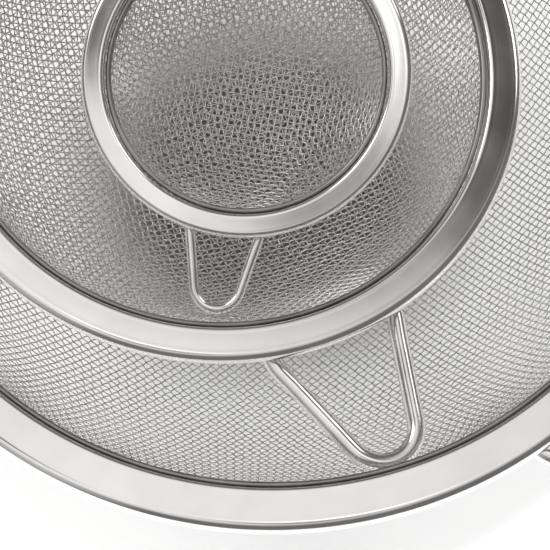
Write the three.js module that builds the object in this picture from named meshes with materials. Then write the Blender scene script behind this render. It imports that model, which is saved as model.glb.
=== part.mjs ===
// Nest of three round wire-mesh sieves with wide flanged rims, rest loops and handles.
// Millimetres, +Z up. The origin is the centre of the large bowl's flat underside, on which the nest stands.
// Each sieve is made in its own frame: Z is the bowl's axis, the flange's top is at z = 0, the handle points
// along +Y and the rest loop along -Y. The nest then tilts and turns the two smaller sieves.
import * as THREE from 'three';

// ---- driving dimensions ------------------------------------------------------------------------------
const CLEARANCE = 0.3; // gap left between touching pieces
const WIRE_SIDES = 8;

const LARGE = {
  name: 'large',
  segments: 44,
  rimRadius: 100,
  meshRadius: 89, // inside of the hem, where the mesh shows
  sheet: 0.8,
  curlRadius: 2.2,
  lipDepth: 4.6,
  bowlDepth: 80,
  flatRadius: 25,
  meshThickness: 0.8,
  loop: { wire: 4.2, halfWidth: 20, length: 34, bendRadius: 8.5, slope: 3, askew: 0 },
  handle: { length: 122, width: 21, height: 7.5, lift: 3.0, rise: 5, wire: 2.8, eye: 8.5 },
};

const MEDIUM = {
  name: 'medium',
  segments: 36,
  rimRadius: 69.5,
  meshRadius: 60.2,
  sheet: 0.7,
  curlRadius: 2.0,
  lipDepth: 4.0,
  bowlDepth: 50,
  flatRadius: 17,
  meshThickness: 0.7,
  loop: { wire: 4.0, halfWidth: 14.6, length: 27.9, bendRadius: 8, slope: -1, askew: 3 },
  handle: { length: 100, width: 18, height: 6.6, lift: 2.5, rise: 2, wire: 2.4, eye: 7.5 },
};

const SMALL = {
  name: 'small',
  segments: 28,
  rimRadius: 38,
  meshRadius: 31.1,
  sheet: 0.6,
  curlRadius: 1.6,
  lipDepth: 3.2,
  bowlDepth: 29,
  flatRadius: 9,
  meshThickness: 0.6,
  loop: { wire: 2.4, halfWidth: 7.9, length: 16.3, bendRadius: 5.4, slope: 3, askew: 0 },
  handle: { length: 84, width: 14.5, height: 5.6, lift: 3.6, rise: 0, wire: 2.0, eye: 7 },
};

// where each sieve lies in the nest: rim centre relative to the large rim's, the way its axis leans,
// and the compass heading of its handle (degrees from +X)
const NEST = {
  large: { centre: [0, 0, 0], lean: 0, leanHeading: 0, handleHeading: 137 },
  medium: { centre: [-12.4, 7.5, -0.5], lean: 6.4, leanHeading: -24, handleHeading: 113.6 },
  small: { centre: [-6.1, 9.6, -10.8], lean: 14.8, leanHeading: -100, handleHeading: 81.8 },
};

const FLANGE_BEND = 1.0; // outside radius where the flange turns down into its lip
const HEM_WIDTH = 1.2;
const HEM_HEIGHT = 2.0;
const HEM_DROP = 1.3; // from the flange's top to the hem's
const CURL_END = -120; // degrees: how far round the rim's edge is rolled
const TANG = { thickness: 1.4, widthShare: 0.62, inHandle: 16 };
const HANDLE_GAP = 6; // from the rim's edge to the mouth of the handle
const HANDLE_WALL = 0.9;
const HANDLE_TAPER = 0.8; // width at the far end over width at the rim
const EYE_LEG = 14; // how far the hanging loop reaches into the handle

// ---- finishes ----------------------------------------------------------------------------------------
const steel = (name, colour, roughness) =>
  new THREE.MeshStandardMaterial({ name, color: colour, roughness, metalness: 1 });
const polished = steel('polished_steel', 0xd9d8d6, 0.16);
const satin = steel('satin_steel', 0xc6c4c1, 0.32);
const mesh = steel('woven_mesh', 0xb3b0ad, 0.4);
const wire = steel('drawn_wire', 0xcfcdca, 0.22);

// ---- shared shape helpers ----------------------------------------------------------------------------
const radians = THREE.MathUtils.degToRad;

/** Points of an arc round (cx, cy), from one angle to another in degrees. */
function arc(cx, cy, radius, from, to, steps) {
  const points = [];
  for (let i = 0; i <= steps; i += 1) {
    const angle = radians(from + ((to - from) * i) / steps);
    points.push(new THREE.Vector2(cx + radius * Math.cos(angle), cy + radius * Math.sin(angle)));
  }
  return points;
}

/** Turns a closed outline of (radius, height) points about Z; the outline runs anticlockwise. */
function turned(outline, segments, closed = true) {
  const points = closed ? [...outline, outline[0].clone()] : outline;
  const geometry = new THREE.LatheGeometry(points, segments);
  geometry.rotateX(Math.PI / 2);
  return geometry;
}

/** Outline of a bent strip: a centre line with the strip's thickness laid off on both sides. */
function stripOutline(centreLine, thickness) {
  const left = [];
  const right = [];
  centreLine.forEach((point, i) => {
    const before = centreLine[Math.max(i - 1, 0)];
    const after = centreLine[Math.min(i + 1, centreLine.length - 1)];
    const normal = after.clone().sub(before).normalize().rotateAround(new THREE.Vector2(), Math.PI / 2);
    left.push(point.clone().addScaledVector(normal, thickness / 2));
    right.push(point.clone().addScaledVector(normal, -thickness / 2));
  });
  return [...left, ...right.reverse()];
}

/** Round wire along a list of points. */
function bentWire(points, diameter, steps) {
  const section = new THREE.Shape();
  section.setFromPoints(arc(0, 0, diameter / 2, 0, 360 - 360 / WIRE_SIDES, WIRE_SIDES - 1));
  const path = new THREE.CatmullRomCurve3(points, false, 'centripetal');
  return new THREE.ExtrudeGeometry(section, { extrudePath: path, steps });
}

/** One side-to-side symmetric hairpin in the XY plane: legs from y = 0, tip at y = -length. */
function hairpin(halfWidth, length, bendRadius) {
  // the legs close in at the angle for which the bend's tip reaches the full length
  let legAngle = 0;
  for (let i = 0; i < 40; i += 1) {
    const reach = length - bendRadius + bendRadius * Math.sin(legAngle);
    legAngle = Math.atan((halfWidth - bendRadius * Math.cos(legAngle)) / reach);
  }
  const degrees = THREE.MathUtils.radToDeg(legAngle);
  const bend = arc(0, -(length - bendRadius), bendRadius, -degrees, degrees - 180, 10);
  const start = new THREE.Vector2(halfWidth, 0);
  const along = (share) => start.clone().lerp(bend[0], share);
  const right = [start, along(0.33), along(0.67), ...bend];
  const left = right.slice(0, 3).reverse().map((point) => new THREE.Vector2(-point.x, point.y));
  return [...right, ...left];
}

// ---- pieces of one sieve -----------------------------------------------------------------------------
/** Flange with its turned-down lip and its rolled outer edge. */
function rimBand({ rimRadius, meshRadius, sheet, curlRadius, lipDepth, segments }) {
  const lip = meshRadius + HEM_WIDTH + CLEARANCE;
  const side = (inset) => [
    new THREE.Vector2(lip + inset, -lipDepth),
    ...arc(lip + FLANGE_BEND, -FLANGE_BEND, FLANGE_BEND - inset, 180, 90, 2),
    ...arc(rimRadius - curlRadius, -curlRadius, curlRadius - inset, 90, CURL_END, 7),
  ];
  return turned([...side(sheet), ...side(0).reverse()], segments);
}

/** Wire that stiffens the rolled edge. */
function edgeHoop({ rimRadius, sheet, curlRadius, segments }) {
  const radius = curlRadius - sheet - CLEARANCE;
  const section = arc(rimRadius - curlRadius, -curlRadius, radius, 0, 300, 5);
  return turned(section, segments);
}

/** Ring folded over the mesh's cut edge, inside the lip. */
function hemRing({ meshRadius, segments }) {
  const inner = meshRadius;
  const outer = meshRadius + HEM_WIDTH;
  const top = -HEM_DROP;
  const bottom = top - HEM_HEIGHT;
  const chamfer = HEM_WIDTH / 3;
  const outline = [
    new THREE.Vector2(inner, bottom),
    new THREE.Vector2(outer, bottom),
    new THREE.Vector2(outer, top - chamfer),
    new THREE.Vector2(outer - chamfer, top),
    new THREE.Vector2(inner + chamfer, top),
    new THREE.Vector2(inner, top - chamfer),
  ];
  return turned(outline, segments);
}

/** Bowl: part of a sphere between the hem and a small flat at the bottom. */
function meshBowl({ meshRadius, bowlDepth, flatRadius, meshThickness, segments }) {
  const top = -(HEM_DROP + HEM_HEIGHT + CLEARANCE);
  const edge = meshRadius + HEM_WIDTH / 2;
  // height of the sphere's centre above the bowl's top edge
  const rise = (edge ** 2 - flatRadius ** 2 - bowlDepth ** 2) / (2 * bowlDepth);
  const sphere = Math.hypot(edge, rise);
  const from = THREE.MathUtils.radToDeg(Math.atan2(-rise, edge));
  const to = THREE.MathUtils.radToDeg(Math.atan2(-(rise + bowlDepth), flatRadius));
  const half = meshThickness / 2;
  const wall = (offset) => arc(0, top + rise, sphere + offset, from, to, 7);
  const floor = top - bowlDepth;
  const outline = [
    new THREE.Vector2(0, floor - half),
    ...wall(half).reverse(),
    ...wall(-half),
    new THREE.Vector2(0, floor + half),
  ];
  outline[1].y = floor - half;
  outline[outline.length - 2].y = floor + half;
  return turned(outline, segments, false);
}

/** Radius at which the room under the flange begins, outside the lip. */
function roomUnderFlange({ meshRadius, sheet }) {
  return meshRadius + HEM_WIDTH + 2 * CLEARANCE + sheet;
}

/** Rest loop: one wire bent to a hairpin, its legs under the flange. */
function restLoop(sieve) {
  const { rimRadius, curlRadius, loop } = sieve;
  const drop = 2 * curlRadius + CLEARANCE + loop.wire / 2;
  const slope = Math.tan(radians(loop.slope));
  const legEnd = roomUnderFlange(sieve) + loop.wire / 2;
  const level = (x, y) => new THREE.Vector3(x, y, -drop - slope * Math.max(0, -y - rimRadius));
  const outside = hairpin(loop.halfWidth, loop.length, loop.bendRadius);
  // the legs leave the round rim short of its farthest point, so the hairpin is stretched to full length
  const start = -Math.sqrt(rimRadius ** 2 - loop.halfWidth ** 2);
  const stretch = (rimRadius + loop.length + start) / loop.length;
  // the loop is welded on slightly askew, turned about the middle of its mouth
  const mouth = new THREE.Vector2(0, start);
  const turned = (x, y) => new THREE.Vector2(x, y).rotateAround(mouth, radians(loop.askew));
  const inner = (x) => {
    const direction = turned(0, start + 1).sub(mouth);
    const from = turned(x, start);
    const along = from.dot(direction);
    return from.addScaledVector(direction, -along - Math.sqrt(along ** 2 - from.lengthSq() + legEnd ** 2));
  };
  const points = [inner(loop.halfWidth), ...outside.map((point) => turned(point.x, start + point.y * stretch)),
    inner(-loop.halfWidth)];
  return bentWire(points.map((point) => level(point.x, point.y)), loop.wire, 22);
}

/** Height of the tang's and handle's centre line above the flange's top, at a distance from the axis. */
function handleHeight({ rimRadius, curlRadius, handle }, y) {
  const level = -(2 * curlRadius + CLEARANCE + TANG.thickness / 2);
  const outside = Math.max(0, y - rimRadius - 1);
  const lifted = handle.lift * THREE.MathUtils.smoothstep(outside, 0, HANDLE_GAP - 1);
  return level + lifted + outside * Math.tan(radians(handle.rise));
}

/** Flat tang that joins the handle to the underside of the flange. */
function tang(sieve) {
  const { rimRadius, handle } = sieve;
  const bend = [0, 0.25, 0.5, 0.75, 1].map((share) => rimRadius + 1 + share * (HANDLE_GAP - 1));
  const stations = [roomUnderFlange(sieve), ...bend, rimRadius + HANDLE_GAP + TANG.inHandle];
  const centreLine = stations.map((y) => new THREE.Vector2(y, handleHeight(sieve, y)));
  const side = new THREE.Shape(stripOutline(centreLine, TANG.thickness));
  const width = handle.width * TANG.widthShare;
  const geometry = new THREE.ExtrudeGeometry(side, { depth: width, bevelEnabled: false });
  geometry.translate(0, 0, -width / 2);
  geometry.rotateX(Math.PI / 2);
  geometry.rotateZ(Math.PI / 2);
  return geometry;
}

/** Hollow handle of oval section, slightly narrower at its far end. */
function handleTube(sieve) {
  const { rimRadius, handle } = sieve;
  const oval = (inset) => {
    const outline = new THREE.EllipseCurve(0, 0, handle.width / 2 - inset, handle.height / 2 - inset);
    return outline.getPoints(16).slice(0, 16);
  };
  const section = new THREE.Shape(oval(0));
  section.holes.push(new THREE.Path(oval(HANDLE_WALL)));
  const geometry = new THREE.ExtrudeGeometry(section, { depth: 1, steps: 4, bevelEnabled: false });
  const position = geometry.attributes.position;
  for (let i = 0; i < position.count; i += 1) {
    const share = position.getZ(i);
    const y = rimRadius + HANDLE_GAP + share * handle.length;
    const width = THREE.MathUtils.lerp(1, HANDLE_TAPER, share);
    position.setXYZ(i, -position.getX(i) * width, y, handleHeight(sieve, y) + position.getY(i));
  }
  return geometry;
}

/** Hanging loop: a wire bent round, its legs inside the handle's far end. */
function hangingLoop(sieve) {
  const { rimRadius, handle } = sieve;
  const mouth = rimRadius + HANDLE_GAP + handle.length;
  const legs = handle.eye - handle.wire / 2;
  const inside = (handle.width * HANDLE_TAPER) / 2 - HANDLE_WALL - handle.wire;
  const level = (x, y) => new THREE.Vector3(x, y, handleHeight(sieve, y));
  const round = arc(0, mouth + handle.eye * 1.3, legs, -30, 210, 12).map(({ x, y }) => level(x, y));
  const leg = [level(inside, mouth - EYE_LEG), level(inside, mouth - EYE_LEG / 2), level(inside, mouth)];
  const otherLeg = leg.map((point) => point.clone().setX(-inside)).reverse();
  return bentWire([...leg, ...round, ...otherLeg], handle.wire, 26);
}

// ---- assembly ----------------------------------------------------------------------------------------
function sieve(size) {
  const group = new THREE.Group();
  const add = (piece, geometry, material) => {
    const node = new THREE.Mesh(geometry, material);
    node.name = `${size.name}_${piece}`;
    group.add(node);
  };
  add('rim_band', rimBand(size), polished);
  add('edge_hoop', edgeHoop(size), wire);
  add('hem_ring', hemRing(size), satin);
  add('mesh_bowl', meshBowl(size), mesh);
  add('rest_loop', restLoop(size), wire);
  add('handle_tang', tang(size), satin);
  add('handle', handleTube(size), satin);
  add('hanging_loop', hangingLoop(size), wire);
  return group;
}

function placed(size) {
  const { centre, lean, leanHeading, handleHeading } = NEST[size.name];
  const body = sieve(size);
  body.rotation.z = radians(handleHeading - 90);
  const leaning = new THREE.Group();
  const heading = radians(leanHeading);
  const hinge = new THREE.Vector3(-Math.sin(heading), Math.cos(heading), 0);
  leaning.quaternion.setFromAxisAngle(hinge, radians(lean));
  leaning.position.set(...centre);
  leaning.add(body);
  return leaning;
}

const nest = new THREE.Group();
nest.position.z = HEM_DROP + HEM_HEIGHT + CLEARANCE + LARGE.bowlDepth + LARGE.meshThickness / 2;
nest.add(placed(LARGE), placed(MEDIUM), placed(SMALL));

const assembly = new THREE.Group();
assembly.add(nest);

export default assembly;
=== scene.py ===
"""Looks of the nest of three round wire-mesh sieves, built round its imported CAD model.

Every piece is made in its sieve's own frame, in millimetres: Z is the bowl's axis, the flange's top is at
z = 0, the handle points along +Y and the rest loop along -Y. The CAD rim and handle give each sieve's place.
"""

import math

import bpy
import numpy as np
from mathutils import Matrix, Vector


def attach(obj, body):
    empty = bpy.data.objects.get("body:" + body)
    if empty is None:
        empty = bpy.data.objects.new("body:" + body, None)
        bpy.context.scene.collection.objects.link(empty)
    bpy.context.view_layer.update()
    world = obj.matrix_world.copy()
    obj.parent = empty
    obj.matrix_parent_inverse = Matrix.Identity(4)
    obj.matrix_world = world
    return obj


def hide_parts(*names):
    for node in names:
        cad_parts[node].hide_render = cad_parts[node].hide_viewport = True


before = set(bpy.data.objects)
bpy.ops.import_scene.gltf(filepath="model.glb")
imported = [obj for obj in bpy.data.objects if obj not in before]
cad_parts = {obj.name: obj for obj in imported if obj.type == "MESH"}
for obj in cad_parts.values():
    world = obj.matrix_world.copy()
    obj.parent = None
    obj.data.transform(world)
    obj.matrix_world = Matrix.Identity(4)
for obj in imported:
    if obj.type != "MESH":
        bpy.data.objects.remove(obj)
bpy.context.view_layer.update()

MM = 0.001

# ---- driving dimensions, in millimetres and degrees, as the CAD model has them ----------------------
SIZES = {
    "large": {
        "rim_radius": 100, "mesh_radius": 89, "sheet": 0.8, "curl": 2.2, "lip_depth": 4.6,
        "bowl_depth": 80, "flat_radius": 25, "mesh_thickness": 0.8, "fall": 0.0,
        "loop": {"wire": 4.2, "half_width": 20, "length": 34, "bend": 8.5, "slope": 3, "askew": 0},
        "handle": {"length": 122, "width": 21, "height": 7.5, "lift": 3.0, "rise": 5, "wire": 2.8, "eye": 8.5},
        "weave": {"pitch": 1.72, "heading": 43},
    },
    "medium": {
        "rim_radius": 69.5, "mesh_radius": 60.2, "sheet": 0.7, "curl": 2.0, "lip_depth": 4.0,
        "bowl_depth": 50, "flat_radius": 17, "mesh_thickness": 0.7, "fall": 0.0,
        "loop": {"wire": 4.0, "half_width": 14.6, "length": 27.9, "bend": 8, "slope": -1, "askew": 3},
        "handle": {"length": 100, "width": 18, "height": 6.6, "lift": 2.5, "rise": 2, "wire": 2.4, "eye": 7.5},
        "weave": {"pitch": 1.62, "heading": 13},
    },
    "small": {
        "rim_radius": 38, "mesh_radius": 31.1, "sheet": 0.6, "curl": 1.6, "lip_depth": 3.2,
        "bowl_depth": 29, "flat_radius": 9, "mesh_thickness": 0.6, "fall": 0.3,
        "loop": {"wire": 2.4, "half_width": 7.9, "length": 16.3, "bend": 5.4, "slope": 3, "askew": 0},
        "handle": {"length": 84, "width": 14.5, "height": 5.6, "lift": 3.6, "rise": 0, "wire": 2.0, "eye": 7},
        "weave": {"pitch": 1.6, "heading": 79},
    },
}
CLEARANCE = 0.3  # between pieces that touch on the real thing
FLANGE_BEND = 1.0  # radius of the bend from the flange to the lip
CROWN = 0.03  # how far the flange's middle stands above its edges
CURL_END = -120  # where the rolled edge stops, in degrees round its wire
HEM_WIDTH = 1.2
HEM_HEIGHT = 2.0
HEM_DROP = 1.3  # from the flange's top to the hem's
HEM_CORNER = 0.3
CLOTH_IN_HEM = 0.4  # how far the strands run up into the hem, past the clearance
TANG = {"thickness": 1.4, "width_share": 0.62, "in_handle": 16}
HANDLE_GAP = 6  # from the rim to the handle's mouth
HANDLE_WALL = 0.9
HANDLE_TAPER = 0.8  # width at the far end as a share of the width at the mouth
HANDLE_STEPS = 90
EYE_LEG = 14  # how far the hanging eye's wire runs into the handle

RING_STEPS = 384  # round a rim
TUBE_SIDES = 28
STRAND_SIDES = 6  # of one wire of the cloth
STRAND_STEPS = 2  # points along a strand from one crossing to the next
MOST_TRIANGLES = 180_000  # in one piece of cloth


# ---- where each sieve lies --------------------------------------------------------------------------
class Place:
    """A sieve's own frame, worked out from its CAD rim and handle."""

    def __init__(self, size):
        rim = vertices(f"{size}_rim_band")
        handle = vertices(f"{size}_handle")
        centre = rim.mean(0)
        about_centre = rim - centre
        up = np.linalg.eigh(about_centre.T @ about_centre)[1][:, 0]
        up *= np.sign(up[2])
        top = (about_centre @ up).max()
        self.origin = centre + top * up
        ahead = handle.mean(0) - self.origin
        ahead -= (ahead @ up) * up
        ahead /= np.linalg.norm(ahead)
        self.axes = np.array([np.cross(ahead, up), ahead, up])

    def row(self, points):
        """Points in the sieve's frame, in millimetres, as points in the row frame, in metres."""
        return self.origin + np.asarray(points, float) * MM @ self.axes


def vertices(node):
    """Vertices of a CAD node, in metres."""
    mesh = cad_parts[node].data
    flat = np.zeros(len(mesh.vertices) * 3)
    mesh.vertices.foreach_get("co", flat)
    return flat.reshape(-1, 3)


PLACES = {size: Place(size) for size in SIZES}


# ---- mesh helpers -----------------------------------------------------------------------------------
def new_object(name, points, faces, uv=None):
    """A mesh object from an array of points and a list of face arrays, each of equal-sided faces."""
    mesh = bpy.data.meshes.new(name)
    sides = [np.full(len(f), f.shape[1]) for f in faces]
    corners = np.concatenate([f.ravel() for f in faces]).astype(np.int32)
    sides = np.concatenate(sides)
    starts = np.concatenate([[0], np.cumsum(sides)[:-1]]).astype(np.int32)
    mesh.vertices.add(len(points))
    mesh.vertices.foreach_set("co", np.asarray(points, np.float32).ravel())
    mesh.loops.add(len(corners))
    mesh.loops.foreach_set("vertex_index", corners)
    mesh.polygons.add(len(starts))
    mesh.polygons.foreach_set("loop_start", starts)
    mesh.polygons.foreach_set("use_smooth", np.full(len(starts), True))
    if uv is not None:
        layer = mesh.uv_layers.new(name="along")
        layer.data.foreach_set("uv", np.asarray(uv, np.float32)[corners].ravel())
    mesh.update(calc_edges=True)
    mesh.validate()
    made = bpy.data.objects.new(name, mesh)
    bpy.context.scene.collection.objects.link(made)
    return made


def arc(cx, cy, radius, start, end, steps):
    """Points of an arc, from one angle to another in degrees."""
    angles = np.radians(np.linspace(start, end, steps + 1))
    return [(cx + radius * math.cos(a), cy + radius * math.sin(a)) for a in angles]


def travelled(points):
    """Length along a line of points, at each of them."""
    return np.concatenate([[0], np.cumsum(np.linalg.norm(np.diff(points, axis=0), axis=1))])


def turned(name, place, outline, steps):
    """Turns a closed outline of (radius, height) points about the sieve's axis."""
    outline = np.array(outline)
    around = np.linspace(0, 2 * np.pi, steps, endpoint=False)
    radius, height = outline.T
    count = len(outline)
    x, y = np.outer(np.cos(around), radius), np.outer(np.sin(around), radius)
    points = np.stack([x, y, np.broadcast_to(height, (steps, count))], -1).reshape(-1, 3)
    i, j = np.meshgrid(np.arange(steps), np.arange(count), indexing="ij")
    i2, j2 = (i + 1) % steps, (j + 1) % count
    quads = np.stack([i * count + j, i2 * count + j, i2 * count + j2, i * count + j2], -1)
    uv = np.stack([np.repeat(around, count), np.tile(travelled(outline), steps)], -1)
    return new_object(name, place.row(points), [quads.reshape(-1, 4)], uv)


def swept(name, place, centre, sections):
    """Lofts one ring of (side, up) offsets per point along a centre line in the sieve's frame."""
    centre = np.asarray(centre, float)
    ahead = np.gradient(centre, axis=0)
    ahead /= np.linalg.norm(ahead, axis=1)[:, None]
    up = np.zeros_like(centre)
    up[:, 2] = 1
    side = np.cross(ahead, up)
    side /= np.linalg.norm(side, axis=1)[:, None]
    up = np.cross(side, ahead)
    sections = np.asarray(sections, float)
    if sections.ndim == 2:
        sections = np.broadcast_to(sections, (len(centre), *sections.shape))
    points = centre[:, None] + sections[..., :1] * side[:, None] + sections[..., 1:2] * up[:, None]
    rows, count = points.shape[:2]
    i, j = np.meshgrid(np.arange(rows - 1), np.arange(count), indexing="ij")
    j2 = (j + 1) % count
    quads = np.stack([i * count + j, i * count + j2, (i + 1) * count + j2, (i + 1) * count + j], -1)
    ends = np.stack([np.arange(count)[::-1], (rows - 1) * count + np.arange(count)])
    uv = np.stack([np.tile(np.arange(count) / count, rows), np.repeat(travelled(centre), count)], -1)
    return new_object(name, place.row(points.reshape(-1, 3)), [quads.reshape(-1, 4), ends], uv)


def oval(width, height, count=TUBE_SIDES, power=2.0):
    """A ring of (side, up) points; a power over 2 squares it up."""
    around = np.linspace(0, 2 * np.pi, count, endpoint=False)
    c, s = np.cos(around), np.sin(around)
    x = width / 2 * np.sign(c) * np.abs(c) ** (2 / power)
    y = height / 2 * np.sign(s) * np.abs(s) ** (2 / power)
    return np.stack([x, y], -1)


def smooth_path(points, spacing):
    """A centripetal Catmull-Rom curve through the points, in equal steps."""
    p = np.asarray(points, float)
    p = np.vstack([2 * p[0] - p[1], p, 2 * p[-1] - p[-2]])
    fine = []
    for a, b, c, d in zip(p[:-3], p[1:-2], p[2:-1], p[3:], strict=True):
        t0 = 0.0
        t1 = t0 + np.linalg.norm(b - a) ** 0.5
        t2 = t1 + np.linalg.norm(c - b) ** 0.5
        t3 = t2 + np.linalg.norm(d - c) ** 0.5
        t = np.linspace(t1, t2, 24, endpoint=False)[:, None]
        ab = (t1 - t) / (t1 - t0) * a + (t - t0) / (t1 - t0) * b
        bc = (t2 - t) / (t2 - t1) * b + (t - t1) / (t2 - t1) * c
        cd = (t3 - t) / (t3 - t2) * c + (t - t2) / (t3 - t2) * d
        left = (t2 - t) / (t2 - t0) * ab + (t - t0) / (t2 - t0) * bc
        right = (t3 - t) / (t3 - t1) * bc + (t - t1) / (t3 - t1) * cd
        fine.append((t2 - t) / (t2 - t1) * left + (t - t1) / (t2 - t1) * right)
    fine = np.vstack([*fine, p[-2][None]])
    length = travelled(fine)
    even = np.linspace(0, length[-1], max(2, round(length[-1] / spacing)))
    return np.stack([np.interp(even, length, fine[:, k]) for k in range(3)], -1)


def dress(piece, size, node, material):
    """Gives a piece its material and slot and its sieve's body, and hides the CAD node that it stands for."""
    piece.data.materials.append(material)
    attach(piece, f"{size}_sieve")
    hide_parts(f"{size}_{node}")


# ---- materials --------------------------------------------------------------------------------------
CLOUD_RANGE = (0.3, 0.7)  # the part of the noise's values that is used


def steel(name, dark, light, roughness, cloud_scale, marks=None):
    """Stainless steel: cloudy colour and roughness, and fine marks as bump: (stretch round, depth in metres)."""
    material = bpy.data.materials.new(name)
    material.use_nodes = True
    nodes, links = material.node_tree.nodes, material.node_tree.links
    shader = nodes["Principled BSDF"]
    shader.inputs["Metallic"].default_value = 1.0
    place = nodes.new("ShaderNodeTexCoord")
    cloud = nodes.new("ShaderNodeTexNoise")
    cloud.inputs["Scale"].default_value = cloud_scale
    cloud.inputs["Detail"].default_value = 4.0
    links.new(place.outputs["Object"], cloud.inputs["Vector"])
    colour = nodes.new("ShaderNodeValToRGB")
    for stop, position, tone in zip(colour.color_ramp.elements, CLOUD_RANGE, (dark, light), strict=True):
        stop.position = position
        stop.color = (*tone, 1)
    links.new(cloud.outputs["Fac"], colour.inputs["Fac"])
    links.new(colour.outputs["Color"], shader.inputs["Base Color"])
    rough = nodes.new("ShaderNodeMapRange")
    for end, cloud_value, value in zip(("Min", "Max"), CLOUD_RANGE, roughness, strict=True):
        rough.inputs[f"From {end}"].default_value = cloud_value
        rough.inputs[f"To {end}"].default_value = value
    links.new(cloud.outputs["Fac"], rough.inputs["Value"])
    links.new(rough.outputs["Result"], shader.inputs["Roughness"])
    if marks:
        along = nodes.new("ShaderNodeUVMap")
        along.uv_map = "along"
        stretch = nodes.new("ShaderNodeMapping")
        stretch.inputs["Scale"].default_value = (marks[0], 1.0, 1.0)
        links.new(along.outputs["UV"], stretch.inputs["Vector"])
        grain = nodes.new("ShaderNodeTexNoise")
        grain.inputs["Scale"].default_value = 6.0
        grain.inputs["Detail"].default_value = 3.0
        links.new(stretch.outputs["Vector"], grain.inputs["Vector"])
        bump = nodes.new("ShaderNodeBump")
        bump.inputs["Strength"].default_value = 0.25
        bump.inputs["Distance"].default_value = marks[1]
        links.new(grain.outputs["Fac"], bump.inputs["Height"])
        links.new(bump.outputs["Normal"], shader.inputs["Normal"])
    return material


POLISHED = steel("polished_sheet", (0.60, 0.59, 0.583), (0.70, 0.69, 0.683), (0.10, 0.17), 60, (0.6, 0.00002))
SATIN = steel("satin_sheet", (0.50, 0.492, 0.486), (0.60, 0.59, 0.583), (0.24, 0.36), 90, (0.6, 0.00004))
# Painted shade: the hem's steel is painted much darker than the rim's, for the shade inside the lip.
HEM_PAINTED_SHADE = steel("hem_painted_shade", (0.22, 0.216, 0.213), (0.32, 0.314, 0.31), (0.32, 0.42), 90, (0.6, 0.00004))
CLOTH = steel("wire_cloth", (0.58, 0.568, 0.56), (0.74, 0.727, 0.718), (0.20, 0.32), 700)
WIRE = steel("drawn_wire", (0.56, 0.55, 0.543), (0.68, 0.67, 0.663), (0.13, 0.22), 120, (6.0, 0.00002))


# ---- rim, hoop and hem ------------------------------------------------------------------------------
def eased(start, end, near=0.12):
    """Points from start to end with one close to each end, so that flat faces shade flat."""
    a, b = np.array(start, float), np.array(end, float)
    step = (b - a) / np.linalg.norm(b - a) * near
    return [tuple(a), tuple(a + step), tuple((a + b) / 2), tuple(b - step), tuple(b)]


def rim_band(size):
    """Flange with its turned-down lip and rolled outer edge; the small one falls slightly outwards."""
    s = SIZES[size]
    lip, fall = s["mesh_radius"] + HEM_WIDTH + CLEARANCE, s["fall"]
    roll = s["curl"] - fall / 2
    outer = s["rim_radius"] - roll
    steep = math.degrees(math.atan2(fall, outer - lip - FLANGE_BEND))

    def side(inset):
        bend = arc(lip + FLANGE_BEND, -FLANGE_BEND, FLANGE_BEND - inset, 180, 90 - steep, 10)
        curl = arc(outer, -fall - roll, roll - inset, 90 - steep, CURL_END, 36)
        a, b = np.array(bend[-1]), np.array(curl[0])
        shares = np.linspace(0, 1, 13)[1:-1]
        flat = [tuple(a + t * (b - a) + (0, -4 * CROWN * (t * t - t) - CROWN)) for t in shares]
        return [*eased((lip + inset, -s["lip_depth"]), bend[0])[:-1], *bend, *flat, *curl]

    outline = [*side(s["sheet"]), *side(0)[::-1]]
    band = turned(f"{size}_rim", PLACES[size], outline, RING_STEPS)
    dress(band, size, "rim_band", POLISHED)


def edge_hoop(size):
    """Wire inside the rolled edge."""
    s = SIZES[size]
    radius = s["curl"] - s["sheet"] - CLEARANCE
    section = arc(s["rim_radius"] - s["curl"], -s["curl"], radius, 0, 345, 23)
    hoop = turned(f"{size}_hoop", PLACES[size], section, RING_STEPS // 2)
    dress(hoop, size, "edge_hoop", WIRE)


def hem_ring(size):
    """Folded ring inside the lip that holds the cloth."""
    s = SIZES[size]
    inner, outer = s["mesh_radius"], s["mesh_radius"] + HEM_WIDTH
    top, bottom = -HEM_DROP, -HEM_DROP - HEM_HEIGHT
    fold = HEM_WIDTH / 2
    outline = [
        *eased((outer, bottom), (outer, top - fold))[:-1],
        *arc(outer - fold, top - fold, fold, 0, 180, 12)[:-1],
        *eased((inner, top - fold), (inner, bottom + HEM_CORNER))[:-1],
        *arc(inner + HEM_CORNER, bottom + HEM_CORNER, HEM_CORNER, 180, 270, 4),
    ]
    ring = turned(f"{size}_hem", PLACES[size], outline, RING_STEPS)
    # the hem gets the steel painted dark as painted shade
    dress(ring, size, "hem_ring", HEM_PAINTED_SHADE)


# ---- woven bowl -------------------------------------------------------------------------------------
NET_ANGLE = 1.62  # radians of cloth laid each way from the ball's lowest point
FLAT_BLEND = (2.5, 4)  # height above the bottom where the wires' normals start to turn up, and over how much


def cloth_net(reach, step):
    """Crossings of square cloth laid on a unit ball, from its lowest point.

    The strands don't stretch, so every cell keeps four equal sides and shears. One quarter is worked out
    and mirrored. Returns points[i, j] for i and j from -reach to reach.
    """
    quarter = np.zeros((reach + 1, reach + 1, 3))
    angles = np.arange(reach + 1) * step
    quarter[:, 0] = np.stack([np.sin(angles), 0 * angles, -np.cos(angles)], -1)
    quarter[0, :] = np.stack([0 * angles, np.sin(angles), -np.cos(angles)], -1)
    for total in range(2, 2 * reach + 1):
        i = np.arange(max(1, total - reach), min(reach, total - 1) + 1)
        j = total - i
        a, b, back = quarter[i - 1, j], quarter[i, j - 1], quarter[i - 1, j - 1]
        across = np.cross(a, b)
        across /= np.linalg.norm(across, axis=1)[:, None] + 1e-12
        quarter[i, j] = back - 2 * (back * across).sum(1)[:, None] * across
    whole = np.zeros((2 * reach + 1, 2 * reach + 1, 3))
    for si in (1, -1):
        for sj in (1, -1):
            i = reach + si * np.arange(reach + 1)
            j = reach + sj * np.arange(reach + 1)
            whole[np.ix_(i, j)] = quarter * (si, sj, 1)
    return whole


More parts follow.
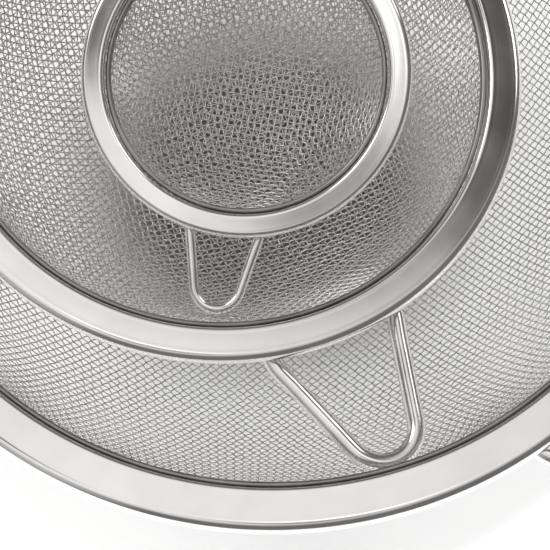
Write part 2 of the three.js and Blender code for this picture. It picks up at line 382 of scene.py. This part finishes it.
def bowl_shape(size):
    """Ball radius, its centre's height and the heights of the bowl's top edge and flat bottom."""
    s = SIZES[size]
    top = -(HEM_DROP + HEM_HEIGHT + CLEARANCE)
    edge = s["mesh_radius"] + HEM_WIDTH / 2
    rise = (edge**2 - s["flat_radius"] ** 2 - s["bowl_depth"] ** 2) / (2 * s["bowl_depth"])
    return math.hypot(edge, rise), top + rise, top, top - s["bowl_depth"]


def flattened(height, bottom, softness=1.6):
    """Heights that come down smoothly on to a flat bottom."""
    over = height - bottom
    return bottom + (over + np.sqrt(over**2 + softness**2)) / 2 - 0.1 * softness


def strands(size, family):
    """Centre lines of the cloth's wires one way, each with its surface normals."""
    s = SIZES[size]
    ball, middle, top, bottom = bowl_shape(size)
    pitch = s["weave"]["pitch"]
    reach = math.ceil(ball * NET_ANGLE / pitch)
    net = cloth_net(reach, pitch / ball)
    place = PLACES[size]
    handle = math.degrees(math.atan2(place.axes[1][1], place.axes[1][0]))
    turn = math.radians(s["weave"]["heading"] - handle + 90)
    c, t = math.cos(turn), math.sin(turn)
    net = net @ np.array([[c, t, 0], [-t, c, 0], [0, 0, 1]])
    if family == "weft":
        net = net.transpose(1, 0, 2)
    crimp = s["mesh_thickness"] / 4 * (1 if family == "warp" else -1)
    end = top + CLEARANCE + CLOTH_IN_HEM
    found = []
    for line in range(2 * reach + 1):
        ball_points = net[:, line]
        z = ball_points[:, 2] * ball + middle
        if z[reach] >= end:
            continue
        first = reach - int(np.argmax(z[reach::-1] >= end))
        last = reach + int(np.argmax(z[reach:] >= end))
        run = ball_points[first : last + 1]
        steps = np.arange(0, len(run) - 1 + 1e-9, 1 / STRAND_STEPS)
        low = np.minimum(steps.astype(int), len(run) - 2)
        share = (steps - low)[:, None]
        normals = run[low] * (1 - share) + run[low + 1] * share
        normals /= np.linalg.norm(normals, axis=1)[:, None]
        over = crimp * np.cos(np.pi * (first + line + steps))
        points = normals * ball
        points[:, 2] = flattened(points[:, 2] + middle, bottom)
        above = normals[:, 2] * ball + middle - bottom
        flat_share = np.clip((FLAT_BLEND[0] - above) / FLAT_BLEND[1], 0, 1)[:, None]
        inward = -normals * (1 - flat_share) + np.array([0, 0, 1]) * flat_share
        inward /= np.linalg.norm(inward, axis=1)[:, None]
        points += inward * over[:, None]
        points, inward = cut_at(points, inward, end)
        if len(points) > 3:
            found.append((points, inward))
    return found


def cut_at(points, normals, end):
    """Ends a strand exactly at a height."""
    inside = np.flatnonzero(points[:, 2] < end)
    if not len(inside):
        return points[:0], normals[:0]
    first, last = inside[0], inside[-1]
    kept, kept_normals = [points[first : last + 1]], [normals[first : last + 1]]
    for near, far, at_start in ((first, first - 1, True), (last, last + 1, False)):
        if 0 <= far < len(points):
            share = (end - points[near, 2]) / (points[far, 2] - points[near, 2])
            tip = points[near] + share * (points[far] - points[near])
            kept.insert(0 if at_start else len(kept), tip[None])
            kept_normals.insert(0 if at_start else len(kept_normals), normals[near][None])
    return np.vstack(kept), np.vstack(kept_normals)


def strand_mesh(name, place, lines, radius):
    """One mesh of round wires along the given centre lines."""
    around = np.linspace(0, 2 * np.pi, STRAND_SIDES, endpoint=False)
    all_points, quads, ends = [], [], []
    start = 0
    for points, normals in lines:
        ahead = np.gradient(points, axis=0)
        ahead /= np.linalg.norm(ahead, axis=1)[:, None]
        side = np.cross(ahead, normals)
        side /= np.linalg.norm(side, axis=1)[:, None]
        up = np.cross(side, ahead)
        across, above = radius * np.cos(around)[None, :, None], radius * np.sin(around)[None, :, None]
        ring = points[:, None] + across * side[:, None] + above * up[:, None]
        rows = len(points)
        i, j = np.meshgrid(np.arange(rows - 1), np.arange(STRAND_SIDES), indexing="ij")
        near, near_next = start + i * STRAND_SIDES + j, start + i * STRAND_SIDES + (j + 1) % STRAND_SIDES
        quad = np.stack([near, near_next, near_next + STRAND_SIDES, near + STRAND_SIDES], -1)
        quads.append(quad.reshape(-1, 4))
        ends.append(start + np.arange(STRAND_SIDES)[::-1])
        ends.append(start + (rows - 1) * STRAND_SIDES + np.arange(STRAND_SIDES))
        all_points.append(ring.reshape(-1, 3))
        start += rows * STRAND_SIDES
    return new_object(name, place.row(np.vstack(all_points)), [np.vstack(quads), np.array(ends)])


def mesh_bowl(size):
    """The woven bowl, cut into pieces that are small enough to export whole."""
    radius = SIZES[size]["mesh_thickness"] / 4
    for family in ("warp", "weft"):
        lines = strands(size, family)
        triangles = np.cumsum([2 * STRAND_SIDES * len(points) for points, _ in lines])
        parts = math.ceil(triangles[-1] / MOST_TRIANGLES)
        part_of = np.minimum((triangles - 1) * parts // triangles[-1], parts - 1)
        for part in range(parts):
            chosen = [line for line, p in zip(lines, part_of, strict=True) if p == part]
            cloth = strand_mesh(f"{size}_mesh_{family}_{part + 1}", PLACES[size], chosen, radius)
            dress(cloth, size, "mesh_bowl", CLOTH)


# ---- loops, tang and handle -------------------------------------------------------------------------
def room_under_flange(s):
    """Radius outside the lip, where there is room for what is welded under the flange."""
    return s["mesh_radius"] + HEM_WIDTH + 2 * CLEARANCE + s["sheet"]


def hairpin(half_width, length, bend_radius):
    """One symmetric hairpin: legs from y = 0, tip at y = -length."""
    lean = 0.0
    for _ in range(40):
        reach = length - bend_radius + bend_radius * math.sin(lean)
        lean = math.atan((half_width - bend_radius * math.cos(lean)) / reach)
    degrees = math.degrees(lean)
    bend = arc(0, -(length - bend_radius), bend_radius, -degrees, degrees - 180, 16)
    start = np.array([half_width, 0.0])
    leg = [tuple(start + share * (np.array(bend[0]) - start)) for share in (0, 0.25, 0.5, 0.75)]
    return [*leg, *bend, *[(-x, y) for x, y in leg[::-1]]]


def rest_loop(size):
    """Hairpin of wire under the flange, whose tip rests on the next bowl or a pot's edge."""
    s = SIZES[size]
    loop, rim = s["loop"], s["rim_radius"]
    drop = 2 * s["curl"] + CLEARANCE + loop["wire"] / 2
    slope = math.tan(math.radians(loop["slope"]))
    # the legs leave the round rim short of its farthest point, so the hairpin is stretched to full length
    start = -math.sqrt(rim**2 - loop["half_width"] ** 2)
    stretch = (rim + loop["length"] + start) / loop["length"]
    leg_end = room_under_flange(s) + loop["wire"] / 2
    # welded on slightly askew, turned about the middle of its mouth
    cosine, sine = math.cos(math.radians(loop["askew"])), math.sin(math.radians(loop["askew"]))

    def askew(x, y):
        return x * cosine - (y - start) * sine, start + x * sine + (y - start) * cosine

    def inner(x):
        """Leg's end beside the lip."""
        x, y = askew(x, start)
        along = -x * sine + y * cosine
        back = along + math.sqrt(along**2 - x**2 - y**2 + leg_end**2)
        return x + back * sine, y - back * cosine

    flat = [askew(x, start + y * stretch) for x, y in hairpin(loop["half_width"], loop["length"], loop["bend"])]
    flat = [inner(loop["half_width"]), *flat, inner(-loop["half_width"])]
    path = smooth_path([(x, y, -drop - slope * max(0, -y - rim)) for x, y in flat], 0.6)
    wire = swept(f"{size}_loop", PLACES[size], path, oval(loop["wire"], loop["wire"]))
    dress(wire, size, "rest_loop", WIRE)


def smooth_step(x):
    """0 below 0, 1 above 1, and smooth between."""
    x = min(max(x, 0.0), 1.0)
    return x * x * (3 - 2 * x)


def handle_height(s, y):
    """Height of the tang's and handle's centre line, at a distance from the axis."""
    level = -(2 * s["curl"] + CLEARANCE + TANG["thickness"] / 2)
    outside = max(0.0, y - s["rim_radius"] - 1)
    lifted = s["handle"]["lift"] * smooth_step(outside / (HANDLE_GAP - 1))
    return level + lifted + outside * math.tan(math.radians(s["handle"]["rise"]))


def handle_tang(size):
    """Flat tongue from under the flange into the handle."""
    s = SIZES[size]
    near, far = room_under_flange(s), s["rim_radius"] + HANDLE_GAP + TANG["in_handle"]
    width = s["handle"]["width"] * TANG["width_share"]
    centre = [(0, y, handle_height(s, y)) for y in np.linspace(near, far, 48)]
    tang = swept(f"{size}_tang", PLACES[size], centre, oval(width, TANG["thickness"], 48, 9.0))
    dress(tang, size, "handle_tang", SATIN)


def handle(size):
    """Pressed handle, narrower at its mouth, waist and far end."""
    s = SIZES[size]
    h = s["handle"]
    mouth = s["rim_radius"] + HANDLE_GAP
    centre, sections = [], []
    for i in range(HANDLE_STEPS + 1):
        share = i / HANDLE_STEPS
        y = mouth + share * h["length"]
        taper = 1 + (HANDLE_TAPER - 1) * share
        from_mouth, from_end = share * h["length"], (1 - share) * h["length"]
        pinch = 0.80 + 0.20 * smooth_step(from_mouth / 14)
        closing = 0.62 + 0.38 * smooth_step(from_end / 12)
        waist = 1 - 0.06 * math.sin(math.pi * share) ** 2
        centre.append((0, y, handle_height(s, y)))
        width, height = h["width"] * taper * pinch * waist, h["height"] * min(pinch + 0.06, 1) * closing
        sections.append(oval(width, height, 40, 2.3))
    tube = swept(f"{size}_handle_shell", PLACES[size], centre, sections)
    dress(tube, size, "handle", SATIN)


def hanging_loop(size):
    """Wire eye at the handle's far end."""
    s = SIZES[size]
    h = s["handle"]
    mouth = s["rim_radius"] + HANDLE_GAP + h["length"]
    ring = h["eye"] - h["wire"] / 2
    inside = h["width"] * HANDLE_TAPER / 2 - HANDLE_WALL - h["wire"]
    leg = [(inside, mouth - EYE_LEG), (inside, mouth - EYE_LEG / 2), (inside, mouth)]
    flat = [*leg, *arc(0, mouth + h["eye"] * 1.3, ring, -30, 210, 18), *[(-x, y) for x, y in leg[::-1]]]
    path = smooth_path([(x, y, handle_height(s, y)) for x, y in flat], 0.5)
    eye = swept(f"{size}_eye", PLACES[size], path, oval(h["wire"], h["wire"]))
    dress(eye, size, "hanging_loop", WIRE)


for size in SIZES:
    rim_band(size)
    edge_hoop(size)
    hem_ring(size)
    mesh_bowl(size)
    rest_loop(size)
    handle_tang(size)
    handle(size)
    hanging_loop(size)


# ---- floor, light and camera ------------------------------------------------------------------------
# Painted shadow of the nest on the table, and a painted glow round it: metres from its middle, the table's grey
# there, and its glow.
FLOOR_SIZE = 12
FLOOR_LEVEL = -0.0004
PAINTED_SHADOW_MIDDLE = (-0.001, 0.013)
FLOOR_PAINTED_SHADOW_AND_GLOW = ((0.028, 0.22, 0.0), (0.065, 0.88, 0.42), (0.106, 0.88, 0.42), (0.117, 0.95, 1.0))
ROOM_LIGHT = 0.22
ROOM_COLOUR = (1.0, 0.99, 0.985, 1)
# Bright and dark soft shapes in the room: where each is, how far it reaches and its even core, in degrees.
# Places are degrees to the right of straight up, and degrees beyond it, away from the camera.
LAMPS = {
    "soft_box": {"at": (-12, 1), "reach": 52, "core": 5, "light": 1.06},
    "overhead": {"at": (4.6, 0.8), "reach": 7.5, "core": 3, "light": 0.85},
    "key": {"at": (-44, 32), "reach": 15, "core": 11, "light": 4.5},
    "fill": {"at": (44, 38), "reach": 13, "core": 9, "light": 4.0},
    "left": {"at": (-62, -52), "reach": 32, "core": 10, "light": 0.4},
}
# Depth 1 would be black.
SHADES = {
    "right_gap": {"at": (21, 24), "reach": 12, "core": 6.5, "depth": 0.86},
    "left_gap": {"at": (-21, 6), "reach": 12.5, "core": 6, "depth": 0.86},
    "camera": {"at": (2.5, -16), "reach": 11, "core": 2, "depth": 0.6},
}


CAMERA_PLACE = (0.6, -209.5, 455.8)  # millimetres from the large rim's middle
CAMERA_PITCH = 70  # degrees downwards
CAMERA_LENS = 147.5


def floor():
    """Pale table with a painted shadow under the nest and a painted glow round it."""
    bpy.ops.mesh.primitive_plane_add(size=FLOOR_SIZE, location=(0, 0, FLOOR_LEVEL))
    plane = bpy.context.object
    plane.name = "floor"
    material = bpy.data.materials.new("floor_painted_shadow_and_glow")
    material.use_nodes = True
    nodes, links = material.node_tree.nodes, material.node_tree.links
    shader = nodes["Principled BSDF"]
    shader.inputs["Roughness"].default_value = 0.7
    # Painted glow: the floor emits light round the nest, though it is no lamp.
    shader.inputs["Emission Strength"].default_value = 1.0
    place = nodes.new("ShaderNodeTexCoord")
    far = nodes.new("ShaderNodeVectorMath")
    far.operation = "DISTANCE"
    links.new(place.outputs["Object"], far.inputs[0])
    far.inputs[1].default_value = (*PAINTED_SHADOW_MIDDLE, 0)
    longest = FLOOR_PAINTED_SHADOW_AND_GLOW[-1][0]
    share = nodes.new("ShaderNodeMath")
    share.operation = "DIVIDE"
    share.inputs[1].default_value = longest
    links.new(far.outputs["Value"], share.inputs[0])
    # Painted shadow in the base colour under the nest and painted glow in the emission round it, by distance
    # from the middle.
    for socket, column in (("Base Color", 1), ("Emission Color", 2)):
        ramp = nodes.new("ShaderNodeValToRGB")
        ramp.color_ramp.interpolation = "EASE"
        stops = ramp.color_ramp.elements
        stops[0].position = FLOOR_PAINTED_SHADOW_AND_GLOW[0][0] / longest
        for distance, *_ in FLOOR_PAINTED_SHADOW_AND_GLOW[1:-1]:
            stops.new(distance / longest)
        for stop, tone in zip(stops, FLOOR_PAINTED_SHADOW_AND_GLOW, strict=True):
            stop.color = (tone[column], tone[column], tone[column], 1)
        links.new(share.outputs[0], ramp.inputs["Fac"])
        links.new(ramp.outputs["Color"], shader.inputs[socket])
    plane.data.materials.append(material)


def studio():
    """A dim room with a large soft box overhead, lamps and a few dark gaps that the steel mirrors."""
    world = bpy.data.worlds.new("studio")
    bpy.context.scene.world = world
    world.use_nodes = True
    nodes, links = world.node_tree.nodes, world.node_tree.links
    place = nodes.new("ShaderNodeTexCoord")

    def maths(operation, *values):
        """A math node of numbers and sockets."""
        node = nodes.new("ShaderNodeMath")
        node.operation = operation
        for socket, value in zip(node.inputs, values, strict=False):
            if isinstance(value, (int, float)):
                socket.default_value = value
            else:
                links.new(value, socket)
        return node.outputs[0]

    def shape(item, strength):
        """The item's strength within core degrees of its direction, and 0 beyond its reach."""
        at = item["at"]
        towards = Vector((math.tan(math.radians(at[0])), math.tan(math.radians(at[1])), 1)).normalized()
        dot = nodes.new("ShaderNodeVectorMath")
        dot.operation = "DOT_PRODUCT"
        links.new(place.outputs["Generated"], dot.inputs[0])
        dot.inputs[1].default_value = towards
        step = nodes.new("ShaderNodeMapRange")
        step.interpolation_type = "SMOOTHSTEP"
        step.inputs["From Min"].default_value = math.cos(math.radians(item["reach"]))
        step.inputs["From Max"].default_value = math.cos(math.radians(item["core"]))
        links.new(dot.outputs["Value"], step.inputs["Value"])
        return maths("MULTIPLY", step.outputs["Result"], strength)

    light = ROOM_LIGHT
    for lamp in LAMPS.values():
        light = maths("ADD", light, shape(lamp, lamp["light"]))
    for shade in SHADES.values():
        light = maths("MULTIPLY", light, maths("SUBTRACT", 1.0, shape(shade, shade["depth"])))
    links.new(light, nodes["Background"].inputs["Strength"])
    nodes["Background"].inputs["Color"].default_value = ROOM_COLOUR


def camera():
    """Looks steeply down on the rims from half a metre."""
    lens = bpy.data.cameras.new("camera")
    lens.sensor_width = 36
    lens.lens = CAMERA_LENS
    view = bpy.data.objects.new("camera", lens)
    view.location = Vector(PLACES["large"].origin) + Vector(CAMERA_PLACE) * MM
    view.rotation_euler = (math.radians(90 - CAMERA_PITCH), 0, 0)
    bpy.context.scene.collection.objects.link(view)
    bpy.context.scene.camera = view


floor()
studio()
camera()
bpy.context.scene.view_settings.view_transform = "Standard"
